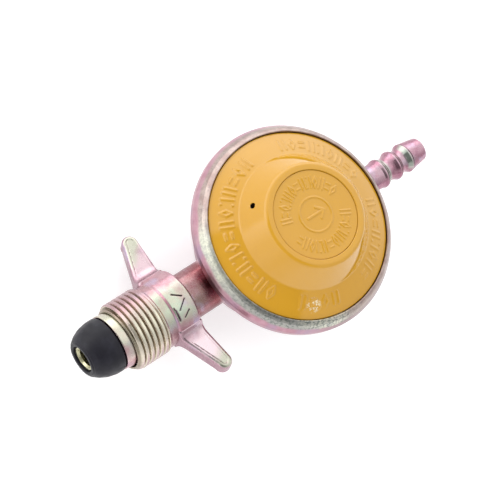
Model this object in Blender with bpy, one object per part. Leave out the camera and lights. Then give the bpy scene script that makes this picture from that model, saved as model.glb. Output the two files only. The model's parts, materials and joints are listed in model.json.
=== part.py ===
"""A low-pressure gas regulator with a soft-nosed inlet, a wing nut and a barbed hose outlet.

The origin is the centre of the flat back face. +X runs along the gas pipe from inlet to outlet,
and +Z runs out of the round cover. Each piece of the real assembly is one object.
"""

import math

import bmesh
import bpy
from mathutils import Euler, Matrix, Vector

MM = 0.001

# Driving dimensions, in millimetres. Heights are above the back face.
PIPE_HEIGHT = 13.0
EDGE_HEIGHT = 28.9          # where the cover's skin meets the rolled lip
TOP_HEIGHT = 42.3
GAP = 0.3                   # between pieces that touch on the real object

BACK_RADIUS = 22.0
RIM_RADIUS = 33.3
LIP_RADIUS = 29.85
LIP_TOP = 29.85
LIP_ROUNDING = 0.75
WALL = 3.0
LEDGE_HEIGHT = 24.1
LEDGE_RADIUS = 26.5
POCKET_RADIUS = 31.2

COVER_RADIUS = 29.55
COVER_FLANGE_RADIUS = 30.9
COVER_SKIN = 1.3
CONE_RADIUS = 20.9
CONE_HEIGHT = 33.9
CROWN_RADIUS = 16.2
CAP_RADIUS = 13.9
CAP_SEAT_HEIGHT = 40.5
ADJUSTER_BORE = 11.5
VENT_RADIUS = 0.8
VENT_PLACE = (-14.33, 12.35, 37.8)

NECK_RADIUS = 7.7
NECK_FRONT = -41.0
OUTLET_BOSS_RADIUS = 7.0
OUTLET_BOSS_END = 36.5

NOSE_FRONT = -77.0
NOSE_RADIUS = 9.0
NOSE_BACK = -67.1
COLLAR_RADIUS = 9.1
COLLAR_FRONT = -66.8
COLLAR_BACK = -63.2
STEM_RADIUS = 6.0
STEM_TIP_RADIUS = 4.0
STEM_BORE = 2.8

NUT_FRONT = -64.0
NUT_BACK = -40.6
NUT_BORE = STEM_RADIUS + GAP
THREAD_RADIUS = 11.2
THREAD_DEPTH = 1.1
THREAD_PITCH = 1.814
THREAD_TURNS = 6
HUB_FRONT = -48.6
HUB_RADIUS = 11.2
WING_REACH = 26.25
WING_TIP = -41.7             # how far along the pipe the rounded tips stand
WING_TIP_RADIUS = 2.6
WING_THICKNESS = 4.7
WING_ANGLE = -17.0          # degrees about +X, how the nut happens to stand

BARB_END = 62.0
BARB_CRESTS = (43.8, 49.6, 55.0)
BARB_CREST_RADIUS = 5.05
BARB_VALLEY_RADIUS = 3.95
BARB_BORE = 1.9

DIAPHRAGM_SHEET = 1.2
DIAPHRAGM_DROP = 4.8        # the spring holds the middle this far below the clamped edge
PLATE_RADIUS = 14.5

SPRING_MEAN_RADIUS = 8.6
SPRING_WIRE_RADIUS = 0.7
SPRING_TURNS = 4.0

LEVER_LONG_ARM = 13.0
LEVER_SHORT_ARM = 4.5
ORIFICE_FACE = -18.6
VALVE_OPENING = 1.15

LARGE_SIDES = 40
MEDIUM_SIDES = 32
SMALL_SIDES = 20
TINY_SIDES = 12


# Scene and materials

def clear_scene():
    for obj in list(bpy.data.objects):
        bpy.data.objects.remove(obj, do_unlink=True)


def material(name, colour, metallic, roughness):
    made = bpy.data.materials.new(name)
    made.use_nodes = True
    shader = made.node_tree.nodes["Principled BSDF"]
    shader.inputs["Base Color"].default_value = (*colour, 1.0)
    shader.inputs["Metallic"].default_value = metallic
    shader.inputs["Roughness"].default_value = roughness
    return made


def make_materials():
    return {
        "plated_casting": material("plated_casting", (0.78, 0.62, 0.62), 0.9, 0.32),
        "plated_steel": material("plated_steel", (0.72, 0.66, 0.58), 0.95, 0.28),
        "golden_paint": material("golden_paint", (0.84, 0.46, 0.07), 0.0, 0.25),
        "zinc": material("zinc", (0.62, 0.63, 0.64), 1.0, 0.4),
        "steel": material("steel", (0.55, 0.55, 0.56), 1.0, 0.35),
        "spring_steel": material("spring_steel", (0.4, 0.4, 0.42), 1.0, 0.3),
        "brass": material("brass", (0.78, 0.58, 0.25), 1.0, 0.3),
        "nose_rubber": material("nose_rubber", (0.035, 0.035, 0.042), 0.0, 0.5),
        "sheet_rubber": material("sheet_rubber", (0.03, 0.03, 0.03), 0.0, 0.7),
        "fibre": material("fibre", (0.45, 0.2, 0.12), 0.0, 0.8),
    }


# Building tools

def millimetres(*values):
    return Vector(values) * MM


def arc(centre, radius, start, end, steps):
    """Points along an arc in the profile's plane. Angles are in degrees from the radial axis."""
    points = []
    for step in range(steps + 1):
        angle = math.radians(start + (end - start) * step / steps)
        points.append((centre[0] + radius * math.cos(angle), centre[1] + radius * math.sin(angle)))
    return points


def new_object(name, mesh_data, finish=None):
    mesh = bpy.data.meshes.new(name)
    mesh_data.to_mesh(mesh)
    mesh_data.free()
    obj = bpy.data.objects.new(name, mesh)
    bpy.context.scene.collection.objects.link(obj)
    if finish:
        mesh.materials.append(finish)
    return obj


def soften(obj, angle=35.0):
    obj.data.shade_smooth()
    obj.data.set_sharp_from_angle(angle=math.radians(angle))
    return obj


def as_helper(obj):
    """Marks an object as a tool for a Boolean, which isn't a piece of the regulator."""
    obj.hide_render = True
    obj.display_type = "WIRE"
    return obj


def turned(name, profile, sides, finish=None):
    """A body turned about Z from a closed outline of (radius, height) points in millimetres."""
    shape = bmesh.new()
    corners = [shape.verts.new(millimetres(radius, 0.0, height)) for radius, height in profile]
    edges = []
    for index, corner in enumerate(corners):
        following = corners[(index + 1) % len(corners)]
        if corner.co.x > 0.0 or following.co.x > 0.0:
            edges.append(shape.edges.new((corner, following)))
    bmesh.ops.spin(
        shape,
        geom=corners + edges,
        cent=(0.0, 0.0, 0.0),
        axis=(0.0, 0.0, 1.0),
        angle=math.tau,
        steps=sides,
        use_merge=True,
    )
    bmesh.ops.remove_doubles(shape, verts=shape.verts, dist=1e-6)
    bmesh.ops.recalc_face_normals(shape, faces=shape.faces)
    return soften(new_object(name, shape, finish))


def turned_along_pipe(name, profile, sides, finish=None):
    """As turned, with the outline's height running along the gas pipe's axis."""
    obj = turned(name, profile, sides, finish)
    obj.rotation_euler = Euler((0.0, math.radians(90.0), 0.0))
    obj.location = millimetres(0.0, 0.0, PIPE_HEIGHT)
    return obj


def ring_profile(inner, outer, low, high):
    return [(inner, high), (outer, high), (outer, low), (inner, low)]


def block(name, low, high, finish=None):
    """A box between two corners in millimetres."""
    shape = bmesh.new()
    bmesh.ops.create_cube(shape, size=1.0)
    size = Vector(high) - Vector(low)
    middle = (Vector(high) + Vector(low)) / 2.0
    bmesh.ops.scale(shape, vec=size * MM, verts=shape.verts)
    bmesh.ops.translate(shape, vec=middle * MM, verts=shape.verts)
    return new_object(name, shape, finish)


def extruded(name, outline, thickness, rounding, finish=None):
    """A plate with its outline in XY, centred on Z, with softened edges. All in millimetres."""
    shape = bmesh.new()
    corners = [shape.verts.new(millimetres(x, y, -thickness / 2.0)) for x, y in outline]
    face = shape.faces.new(corners)
    raised = bmesh.ops.extrude_face_region(shape, geom=[face])["geom"]
    moved = [item for item in raised if isinstance(item, bmesh.types.BMVert)]
    bmesh.ops.translate(shape, vec=millimetres(0.0, 0.0, thickness), verts=moved)
    bmesh.ops.recalc_face_normals(shape, faces=shape.faces)
    if rounding:
        level = [edge for edge in shape.edges if abs(edge.verts[0].co.z - edge.verts[1].co.z) < 1e-7]
        bmesh.ops.bevel(shape, geom=level, offset=rounding * MM, segments=2, profile=0.5, affect="EDGES")
    return soften(new_object(name, shape, finish), 45.0)


def boolean(obj, tool, operation):
    step = obj.modifiers.new(f"{operation.lower()}_{tool.name}", "BOOLEAN")
    step.operation = operation
    step.solver = "EXACT"
    step.object = as_helper(tool)
    return obj


def joint_marker(name, x, y, z, parent=None):
    """An empty on a joint's axis, which carries the pieces that move together."""
    marker = bpy.data.objects.new(name, None)
    marker.empty_display_size = 5.0 * MM
    bpy.context.scene.collection.objects.link(marker)
    marker.location = millimetres(x, y, z)
    if parent:
        attach(marker, parent)
    return marker


def attach(obj, parent):
    """Parents an object and leaves it where it stands."""
    bpy.context.view_layer.update()
    obj.parent = parent
    obj.matrix_parent_inverse = parent.matrix_world.inverted()


# The casting and the pieces fixed in it

def casing_profile():
    outside = [(0.0, 0.0), (BACK_RADIUS, 0.0)]
    outside += [(BACK_RADIUS + 1.6, 0.6), (BACK_RADIUS + 2.6, 2.0)]
    outside += [(28.8, 18.6), (29.6, 20.2), (30.8, 20.8)]
    rim = arc((RIM_RADIUS - 2.0, 22.8), 2.0, -60.0, -15.0, 2)
    rim += arc((RIM_RADIUS - 6.9, 24.4), 6.9, 0.0, 45.0, 4)
    lip = arc((LIP_RADIUS + LIP_ROUNDING, LIP_TOP - LIP_ROUNDING), LIP_ROUNDING, 45.0, 170.0, 3)
    inside = [(LIP_RADIUS, 27.1 + GAP), (POCKET_RADIUS, 27.1 + GAP)]
    inside += [(POCKET_RADIUS, LEDGE_HEIGHT), (LEDGE_RADIUS, LEDGE_HEIGHT), (26.0, 18.8)]
    inside += [(BACK_RADIUS + 0.2, WALL + 1.0), (BACK_RADIUS - 1.0, WALL), (0.0, WALL)]
    return outside + rim + lip + inside


def inlet_neck():
    """The round neck, which flares where it runs under the rim."""
    profile = [(0.0, NECK_FRONT), (NECK_RADIUS - 0.3, NECK_FRONT), (NECK_RADIUS, NECK_FRONT + 0.3)]
    profile += [(NECK_RADIUS, -32.6), (NECK_RADIUS + 0.5, -30.2), (NECK_RADIUS + 1.6, -28.0)]
    profile += [(NECK_RADIUS + 1.8, -25.8), (5.6, -25.0), (5.6, -21.9), (0.0, -21.9)]
    return turned_along_pipe("neck_form", profile, MEDIUM_SIDES)


def outlet_boss():
    profile = [(0.0, 22.6), (OUTLET_BOSS_RADIUS, 22.6), (OUTLET_BOSS_RADIUS, OUTLET_BOSS_END - 0.5)]
    profile += [(OUTLET_BOSS_RADIUS - 0.5, OUTLET_BOSS_END), (0.0, OUTLET_BOSS_END)]
    return turned_along_pipe("outlet_boss_form", profile, MEDIUM_SIDES)


def lever_ear(side):
    low, high = sorted((side * 3.3, side * 4.8))
    return block(f"ear_form_{'left' if side < 0 else 'right'}", (-15.6, low, WALL - 1.0), (-10.4, high, 16.0))


def pin_bore():
    bore = turned("pin_bore", ring_profile(0.0, 1.0 + GAP, -8.0, 8.0), TINY_SIDES)
    bore.rotation_euler = Euler((math.radians(90.0), 0.0, 0.0))
    bore.location = millimetres(-LEVER_LONG_ARM, 0.0, PIPE_HEIGHT - LEVER_SHORT_ARM)
    return bore


def inlet_passage():
    profile = [(0.0, -20.0), (3.2 + GAP, -20.0), (3.2 + GAP, -30.6)]
    profile += [(5.0 + GAP, -30.6), (5.0 + GAP, NECK_FRONT - 1.0), (0.0, NECK_FRONT - 1.0)]
    return turned_along_pipe("inlet_passage", profile, SMALL_SIDES)


def outlet_passage():
    profile = [(0.0, OUTLET_BOSS_END + 1.0), (4.2 + GAP, OUTLET_BOSS_END + 1.0), (4.2 + GAP, 25.3)]
    profile += [(BARB_BORE, 25.3), (BARB_BORE, 20.0), (0.0, 20.0)]
    return turned_along_pipe("outlet_passage", profile, SMALL_SIDES)


def make_casing(finish):
    casing = turned("casing", casing_profile(), LARGE_SIDES, finish)
    for form in (inlet_neck(), outlet_boss(), lever_ear(-1), lever_ear(1)):
        boolean(casing, form, "UNION")
    for form in (inlet_passage(), outlet_passage(), pin_bore()):
        boolean(casing, form, "DIFFERENCE")
    return casing


def make_outlet_nozzle(finish):
    """The screwed-in hose nozzle: three barbs with hollowed flanks, the last one tapering to the end."""
    root = 4.55
    land = 0.4
    first, second, third = BARB_CRESTS
    outside = [(4.2, 26.7), (4.2, OUTLET_BOSS_END + GAP), (root, OUTLET_BOSS_END + GAP)]
    outside += [(root, first - 2.4), (BARB_CREST_RADIUS, first - land), (BARB_CREST_RADIUS, first + land)]
    for low, high in ((first, second), (second, third)):
        middle = low + 0.55 * (high - low)
        outside += [(BARB_VALLEY_RADIUS + 0.25, low + 1.6), (BARB_VALLEY_RADIUS, middle)]
        outside += [(BARB_VALLEY_RADIUS + 0.35, high - 1.2)]
        outside += [(BARB_CREST_RADIUS, high - land), (BARB_CREST_RADIUS, high + land)]
    outside += [(4.0, BARB_END - 0.6), (3.6, BARB_END)]
    inside = [(BARB_BORE, BARB_END), (BARB_BORE, 26.7)]
    return turned_along_pipe("outlet_nozzle", outside + inside, 24, finish)


def make_outlet_washer(finish):
    return turned_along_pipe("outlet_washer", ring_profile(2.6, 4.2, 25.6, 26.4), SMALL_SIDES, finish)


def make_inlet_stem(finish):
    """The tube that the nut turns on, with a collar that the nut pulls on."""
    tip = NOSE_FRONT + 0.7
    outside = [(5.0, -31.2), (5.0, NECK_FRONT - 1.2), (STEM_RADIUS, NECK_FRONT - 1.2)]
    outside += [(STEM_RADIUS, COLLAR_BACK), (COLLAR_RADIUS - 0.3, COLLAR_BACK)]
    outside += [(COLLAR_RADIUS, COLLAR_BACK - 0.3), (COLLAR_RADIUS, COLLAR_FRONT + 0.3)]
    outside += [(COLLAR_RADIUS - 0.3, COLLAR_FRONT), (STEM_TIP_RADIUS, COLLAR_FRONT)]
    outside += [(STEM_TIP_RADIUS, tip + 0.2), (STEM_TIP_RADIUS - 0.2, tip)]
    inside = [(STEM_BORE + 0.5, tip), (STEM_BORE, tip + 0.6), (STEM_BORE, -31.2)]
    return turned_along_pipe("inlet_stem", outside + inside, 24, finish)


def make_stem_gasket(finish):
    low = NECK_FRONT - 0.9
    return turned_along_pipe("stem_gasket", ring_profile(5.3, 7.2, low, low + 0.6), SMALL_SIDES, finish)


def make_inlet_filter(finish):
    """A gauze thimble inside the stem, closed at its inlet end."""
    profile = [(0.0, -46.0), (2.1, -46.0), (2.4, -45.6), (2.4, -38.0)]
    profile += [(1.9, -38.0), (1.9, -45.2), (0.0, -45.2)]
    return turned_along_pipe("inlet_filter", profile, TINY_SIDES, finish)


def make_nose_seal(finish):
    """The soft rubber nose that seals in the cylinder valve."""
    bore = STEM_TIP_RADIUS + GAP
    outside = [(bore, NOSE_FRONT), (5.6, NOSE_FRONT), (6.2, NOSE_FRONT + 0.5)]
    outside += [(7.35, NOSE_FRONT + 2.1), (8.4, NOSE_FRONT + 4.3), (NOSE_RADIUS, NOSE_FRONT + 7.0)]
    outside += [(NOSE_RADIUS, NOSE_BACK - 0.6), (NOSE_RADIUS - 0.4, NOSE_BACK), (bore, NOSE_BACK)]
    return turned_along_pipe("nose_seal", outside, MEDIUM_SIDES, finish)


def make_orifice_nozzle(finish):
    outside = [(3.2, -30.0), (3.2, -21.6), (4.0, -21.6), (4.0, -20.2)]
    outside += [(1.6, ORIFICE_FACE)]
    inside = [(0.9, ORIFICE_FACE), (0.9, -30.0)]
    return turned_along_pipe("orifice_nozzle", outside + inside, TINY_SIDES, finish)


def make_lever_pin(finish):
    pin = turned("lever_pin", ring_profile(0.0, 1.0, -5.4, 5.4), TINY_SIDES, finish)
    pin.rotation_euler = Euler((math.radians(90.0), 0.0, 0.0))
    pin.location = millimetres(-LEVER_LONG_ARM, 0.0, PIPE_HEIGHT - LEVER_SHORT_ARM)
    return pin


# The cover and the adjuster

def cover_profile():
    edge = EDGE_HEIGHT
    outside = [(COVER_FLANGE_RADIUS, 25.9), (COVER_FLANGE_RADIUS, 27.1), (COVER_RADIUS, 27.1)]
    outside += [(COVER_RADIUS, edge - 0.2), (COVER_RADIUS - 0.3, edge + 0.1)]
    outside += [(25.2, edge + 2.7), (CONE_RADIUS + 0.7, CONE_HEIGHT - 0.4), (CONE_RADIUS, CONE_HEIGHT + 0.3)]
    outside += [(CROWN_RADIUS + 0.9, TOP_HEIGHT - 1.6), (CROWN_RADIUS + 0.2, TOP_HEIGHT - 0.5)]
    outside += [(CROWN_RADIUS - 0.7, TOP_HEIGHT), (CAP_RADIUS + GAP, TOP_HEIGHT)]
    seat = [(CAP_RADIUS + GAP, CAP_SEAT_HEIGHT), (ADJUSTER_BORE, CAP_SEAT_HEIGHT), (ADJUSTER_BORE, 31.0)]
    boss = [(ADJUSTER_BORE + 1.8, 31.0), (ADJUSTER_BORE + 1.8, CAP_SEAT_HEIGHT - COVER_SKIN)]
    inside = [(CROWN_RADIUS + 0.2, CAP_SEAT_HEIGHT - COVER_SKIN), (CONE_RADIUS - 1.5, CONE_HEIGHT - 1.0)]
    inside += [(25.0, edge + 1.1), (28.2, 27.4), (28.2, 25.9)]
    return outside + seat + boss + inside


def vent_bore():
    """A small hole through the cone, square to its slope."""
    x, y, height = VENT_PLACE
    bore = turned("vent_bore", ring_profile(0.0, VENT_RADIUS, -4.0, 4.0), TINY_SIDES)
    outward = Vector((x, y, 0.0)).normalized() * (TOP_HEIGHT - CONE_HEIGHT)
    upward = Vector((0.0, 0.0, CONE_RADIUS - CROWN_RADIUS))
    bore.rotation_euler = (outward + upward).to_track_quat("Z", "Y").to_euler()
    bore.location = millimetres(x, y, height)
    return bore


def make_cover(finish):
    cover = turned("cover", cover_profile(), LARGE_SIDES, finish)
    return boolean(cover, vent_bore(), "DIFFERENCE")


def make_sealing_cap(finish):
    """The press-in cap over the adjuster, with a shallow skirt that centres it."""
    top = TOP_HEIGHT - GAP
    under = CAP_SEAT_HEIGHT + GAP
    skirt = ADJUSTER_BORE - GAP
    low = CAP_SEAT_HEIGHT - 0.4
    profile = [(0.0, top), (CAP_RADIUS - 0.3, top), (CAP_RADIUS, top - 0.3), (CAP_RADIUS, under)]
    profile += [(skirt, under), (skirt, low), (skirt - 1.0, low), (skirt - 1.0, under), (0.0, under)]
    return turned("sealing_cap", profile, LARGE_SIDES, finish)


def make_adjusting_screw(finish):
    radius = ADJUSTER_BORE - GAP
    screw = turned("adjusting_screw", ring_profile(0.0, radius, 35.0, 38.0), MEDIUM_SIDES, finish)
    slot = block("screwdriver_slot", (-7.0, -1.0, 36.6), (7.0, 1.0, 39.0))
    return boolean(screw, slot, "DIFFERENCE")


def make_upper_spring_seat(finish):
    profile = [(3.0, 34.7), (10.8, 34.7), (10.8, 33.9), (7.2, 33.9), (6.8, 33.0), (6.2, 33.0), (6.2, 33.9)]
    profile += [(3.0, 33.9)]
    return turned("upper_spring_seat", profile, 24, finish)


def make_main_spring(finish, low, high):
    """A compression spring with its end turns wound flat, swept as one closed tube."""
    shape = bmesh.new()
    around = 6
    steps_per_turn = 14
    total = int(SPRING_TURNS * steps_per_turn)
    bottom = low + SPRING_WIRE_RADIUS
    top = high - SPRING_WIRE_RADIUS
    rings = []
    for step in range(total + 1):
        turn = step / steps_per_turn
        angle = math.tau * turn
        share = min(max((turn - 0.5) / (SPRING_TURNS - 1.0), 0.0), 1.0)
        height = bottom + (top - bottom) * share
        outward = Vector((math.cos(angle), math.sin(angle), 0.0))
        centre = outward * SPRING_MEAN_RADIUS + Vector((0.0, 0.0, height))
        ring = []
        for side in range(around):
            turnaround = math.tau * side / around
            offset = outward * math.cos(turnaround) + Vector((0.0, 0.0, math.sin(turnaround)))
            ring.append(shape.verts.new((centre + offset * SPRING_WIRE_RADIUS) * MM))
        rings.append(ring)
    for first, second in zip(rings, rings[1:]):
        for side in range(around):
            after = (side + 1) % around
            shape.faces.new((first[side], first[after], second[after], second[side]))
    shape.faces.new(rings[0])
    shape.faces.new(rings[-1])
    bmesh.ops.recalc_face_normals(shape, faces=shape.faces)
    return soften(new_object("main_spring", shape, finish), 60.0)


# The diaphragm and what it carries

def sheet_height(radius):
    """The underside of the diaphragm: flat where it is clamped and in the middle, and rolled between."""
    edge = LEDGE_HEIGHT + GAP
    start, end = 25.6, 15.8
    share = min(max((start - radius) / (start - end), 0.0), 1.0)
    roll = 1.6 * math.sin(math.pi * share)
    return edge - DIAPHRAGM_DROP * (0.5 - 0.5 * math.cos(math.pi * share)) + roll


def make_diaphragm(finish):
    radii = [COVER_FLANGE_RADIUS, 25.6, 23.6, 21.4, 19.2, 17.2, 15.8, 2.0 + GAP]
    upper = [(radius, sheet_height(radius) + DIAPHRAGM_SHEET) for radius in reversed(radii)]
    lower = [(radius, sheet_height(radius)) for radius in radii]
    return turned("diaphragm", upper + lower, MEDIUM_SIDES, finish)


def centre_top():
    return LEDGE_HEIGHT + GAP - DIAPHRAGM_DROP + DIAPHRAGM_SHEET


def make_diaphragm_plate(finish):
    """The dished plate over the diaphragm, which the spring stands on."""
    low = centre_top() + GAP
    profile = [(2.0 + GAP, low + 1.0), (PLATE_RADIUS - 1.0, low + 1.0), (PLATE_RADIUS - 0.7, low + 1.9)]
    profile += [(PLATE_RADIUS, low + 1.9), (PLATE_RADIUS, low), (2.0 + GAP, low)]
    return turned("diaphragm_plate", profile, MEDIUM_SIDES, finish)


def make_diaphragm_washer(finish):
    high = centre_top() - DIAPHRAGM_SHEET - GAP
    return turned("diaphragm_washer", ring_profile(2.0 + GAP, 10.0, high - 0.8, high), 24, finish)


def make_stem_nut(finish):
    low = centre_top() + GAP + 1.0 + GAP
    return turned("stem_nut", ring_profile(2.0 + GAP, 3.6, low, low + 2.2), 6, finish)


def make_diaphragm_stem(finish):
    """The stud through the diaphragm, with a window at its foot that takes the lever's tip."""
    shoulder = centre_top() - DIAPHRAGM_SHEET - GAP - 0.8 - GAP
    lever_height = PIPE_HEIGHT - LEVER_SHORT_ARM
    stud = [(0.0, 24.6), (1.7, 24.6), (2.0, 24.3), (2.0, shoulder), (3.8, shoulder), (3.8, 15.6), (0.0, 15.6)]
    stem = turned("diaphragm_stem", stud, SMALL_SIDES, finish)
    boolean(stem, block("stem_blade", (-1.2, -3.3, 6.2), (1.2, 3.3, 16.4)), "UNION")
    window = block("stem_window", (-3.0, -1.9, lever_height - 1.1), (3.0, 1.9, lever_height + 1.1))
    return boolean(stem, window, "DIFFERENCE")


# The lever and the valve

def make_lever(finish):
    """A bell crank: the long arm reaches the diaphragm stem, and the short arm moves the valve."""
    outline = [(-0.9, -1.4), (2.0, -1.6), (6.0, -0.5), (14.6, -0.5), (14.6, 0.5), (5.6, 0.5)]
    outline += [(2.2, 1.0), (0.5, 1.6), (0.5, 5.4), (-0.5, 5.4), (-0.5, 1.6), (-1.4, 1.0)]
    lever = extruded("lever", outline, 3.0, 0.0, finish)
    hub = turned("lever_hub", ring_profile(0.0, 1.9, -2.9, 2.9), TINY_SIDES)
    boolean(lever, hub, "UNION")
    bore = turned("lever_bore", ring_profile(0.0, 1.0 + GAP, -4.0, 4.0), TINY_SIDES)
    boolean(lever, bore, "DIFFERENCE")
    for piece in (lever, hub, bore):
        piece.rotation_euler = Euler((math.radians(90.0), 0.0, 0.0))
        piece.location = millimetres(-LEVER_LONG_ARM, 0.0, PIPE_HEIGHT - LEVER_SHORT_ARM)
    return lever


def make_valve_holder(finish):
    """The brass holder for the pad, with a tail that the lever's short arm sits in."""
    front = ORIFICE_FACE + VALVE_OPENING + 0.4
    outside = [(2.2, front), (3.0, front), (3.0, -14.5), (2.6, -14.5), (2.6, -11.2), (0.0, -11.2)]
    pocket = [(0.0, front + 1.7), (2.2, front + 1.7)]
    holder = turned_along_pipe("valve_holder", pocket + outside, SMALL_SIDES, finish)
    slot = block("valve_slot", (-14.0, -4.0, PIPE_HEIGHT - 6.0), (-12.0, 4.0, PIPE_HEIGHT + 1.5))
    return boolean(holder, slot, "DIFFERENCE")


def make_valve_pad(finish):
    front = ORIFICE_FACE + VALVE_OPENING
    return turned_along_pipe("valve_pad", ring_profile(0.0, 1.9, front, front + 1.8), TINY_SIDES, finish)


# The wing nut

def nut_profile():
    outside = [(9.4, NUT_FRONT), (9.9, NUT_FRONT), (THREAD_RADIUS - THREAD_DEPTH, NUT_FRONT + 0.4)]
    start = NUT_FRONT + 1.5
    for turn in range(THREAD_TURNS):
        low = start + turn * THREAD_PITCH
        outside += [(THREAD_RADIUS, low + 0.25 * THREAD_PITCH), (THREAD_RADIUS, low + 0.5 * THREAD_PITCH)]
        outside += [(THREAD_RADIUS - THREAD_DEPTH, low + THREAD_PITCH)]
    outside += [(10.5, -51.4), (10.5, HUB_FRONT), (HUB_RADIUS, HUB_FRONT + 0.5)]
    outside += [(HUB_RADIUS, NUT_BACK - 2.0), (HUB_RADIUS - 0.6, NUT_BACK - 0.6)]
    outside += [(HUB_RADIUS - 2.0, NUT_BACK)]
    inside = [(NECK_RADIUS + GAP, NUT_BACK), (NECK_RADIUS + GAP, NUT_BACK - 5.0), (NUT_BORE, NUT_BACK - 5.0)]
    inside += [(NUT_BORE, NUT_FRONT + 2.5), (9.4, NUT_FRONT + 2.5)]
    return outside + inside


def wing_outline():
    """One wing, in a plane through the nut's axis: X along the pipe, Y outward."""
    front, back = HUB_FRONT - 0.7, NUT_BACK + 0.2
    tip = (WING_TIP, WING_REACH - WING_TIP_RADIUS)
    outline = [(front - 0.1, 9.0), (front, 10.8), (WING_TIP - WING_TIP_RADIUS, tip[1])]
    outline += arc(tip, WING_TIP_RADIUS, 150.0, 30.0, 4)
    outline += [(WING_TIP + WING_TIP_RADIUS, tip[1]), (back, 10.8), (back, 9.0)]
    return outline


def make_wing_nut(finish):
    nut = turned_along_pipe("wing_nut", nut_profile(), MEDIUM_SIDES, finish)
    lean = Matrix.Rotation(math.radians(WING_ANGLE), 4, "X")
    for number, side in enumerate((1.0, -1.0)):
        outline = [(x, side * y) for x, y in wing_outline()]
        wing = extruded(f"wing_form_{number}", outline, WING_THICKNESS, 0.7)
        wing.matrix_world = Matrix.Translation(millimetres(0.0, 0.0, PIPE_HEIGHT)) @ lean
        boolean(nut, wing, "UNION")
    return nut


def make_slip_washer(finish):
    low = COLLAR_BACK + GAP
    return turned_along_pipe("slip_washer", ring_profile(NUT_BORE, 9.0, low, low + 0.8), 24, finish)


# Assembly

def main():
    clear_scene()
    finishes = make_materials()
    make_casing(finishes["plated_casting"])
    make_outlet_nozzle(finishes["plated_steel"])
    make_outlet_washer(finishes["fibre"])
    make_inlet_stem(finishes["plated_steel"])
    make_stem_gasket(finishes["fibre"])
    make_inlet_filter(finishes["brass"])
    make_nose_seal(finishes["nose_rubber"])
    make_orifice_nozzle(finishes["brass"])
    make_lever_pin(finishes["steel"])
    make_cover(finishes["golden_paint"])
    make_sealing_cap(finishes["golden_paint"])
    make_diaphragm(finishes["sheet_rubber"])

    adjuster = joint_marker("adjuster_axis", 0.0, 0.0, 34.3)
    attach(make_adjusting_screw(finishes["zinc"]), adjuster)
    attach(make_upper_spring_seat(finishes["steel"]), adjuster)

    plate = make_diaphragm_plate(finishes["zinc"])
    spring_low = centre_top() + GAP + 1.0 + GAP
    make_main_spring(finishes["spring_steel"], spring_low, 33.9 - GAP)
    centre = joint_marker("diaphragm_axis", 0.0, 0.0, centre_top())
    carried = [plate, make_diaphragm_washer(finishes["zinc"]), make_stem_nut(finishes["brass"])]
    carried.append(make_diaphragm_stem(finishes["brass"]))
    for piece in carried:
        attach(piece, centre)

    make_lever(finishes["steel"])
    valve = joint_marker("valve_axis", ORIFICE_FACE + VALVE_OPENING, 0.0, PIPE_HEIGHT)
    attach(make_valve_holder(finishes["brass"]), valve)
    attach(make_valve_pad(finishes["sheet_rubber"]), valve)

    nut_axis = joint_marker("nut_axis", NUT_FRONT, 0.0, PIPE_HEIGHT)
    attach(make_wing_nut(finishes["plated_steel"]), nut_axis)
    attach(make_slip_washer(finishes["steel"]), nut_axis)


main()
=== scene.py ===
"""Looks of the gas regulator: smooth shells, threads, barbs, raised marks and their finishes.

All sizes here are in millimetres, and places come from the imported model's boxes. X runs along the
gas pipe from inlet to outlet, and Z runs out of the cover.
"""

import json
import math

import bmesh
import bpy
import numpy as np
from mathutils import Matrix, Vector


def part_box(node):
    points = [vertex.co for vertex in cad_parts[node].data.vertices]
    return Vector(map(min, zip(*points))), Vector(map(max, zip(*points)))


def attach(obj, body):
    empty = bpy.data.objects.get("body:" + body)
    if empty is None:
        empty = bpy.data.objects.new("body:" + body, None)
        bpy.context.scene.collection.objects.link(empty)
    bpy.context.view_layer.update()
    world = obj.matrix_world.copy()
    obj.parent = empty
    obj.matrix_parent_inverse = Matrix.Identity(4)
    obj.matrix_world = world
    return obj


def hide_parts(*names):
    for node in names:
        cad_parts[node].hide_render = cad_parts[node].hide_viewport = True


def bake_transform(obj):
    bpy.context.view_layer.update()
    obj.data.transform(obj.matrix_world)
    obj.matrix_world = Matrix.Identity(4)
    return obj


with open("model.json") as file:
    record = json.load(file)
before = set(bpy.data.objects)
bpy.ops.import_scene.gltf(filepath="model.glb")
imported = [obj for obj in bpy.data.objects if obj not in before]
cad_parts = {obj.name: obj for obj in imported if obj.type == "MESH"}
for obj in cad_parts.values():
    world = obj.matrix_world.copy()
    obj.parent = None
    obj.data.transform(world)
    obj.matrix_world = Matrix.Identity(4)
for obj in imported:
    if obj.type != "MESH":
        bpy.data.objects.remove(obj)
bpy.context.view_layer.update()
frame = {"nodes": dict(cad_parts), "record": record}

MM = 0.001


# Sizes read from the frame

def reach(node, side, axis):
    """A CAD node's lowest (0) or highest (1) coordinate along an axis (0, 1 or 2)."""
    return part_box(node)[side][axis] / MM


RIM_RADIUS = reach("casing", 1, 1)
LIP_TOP = reach("casing", 1, 2)
NECK_FRONT = reach("casing", 0, 0)
OUTLET_BOSS_END = reach("casing", 1, 0)
PIPE_HEIGHT = (reach("nose_seal", 0, 2) + reach("nose_seal", 1, 2)) / 2.0
COVER_TOP = reach("cover", 1, 2)
COVER_FLANGE = reach("cover", 1, 1)
FLANGE_LOW = reach("cover", 0, 2)
CAP_RADIUS = reach("sealing_cap", 1, 0)
CAP_LOW = reach("sealing_cap", 0, 2)
NUT_FRONT = reach("wing_nut", 0, 0)
NUT_BACK = -40.6
NOSE_FRONT = reach("nose_seal", 0, 0)
NOSE_BACK = reach("nose_seal", 1, 0)
NOSE_RADIUS = reach("nose_seal", 1, 1)
STEM_TIP = reach("inlet_stem", 0, 0)
STEM_END = reach("inlet_stem", 1, 0)
COLLAR_RADIUS = reach("inlet_stem", 1, 1)
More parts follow.
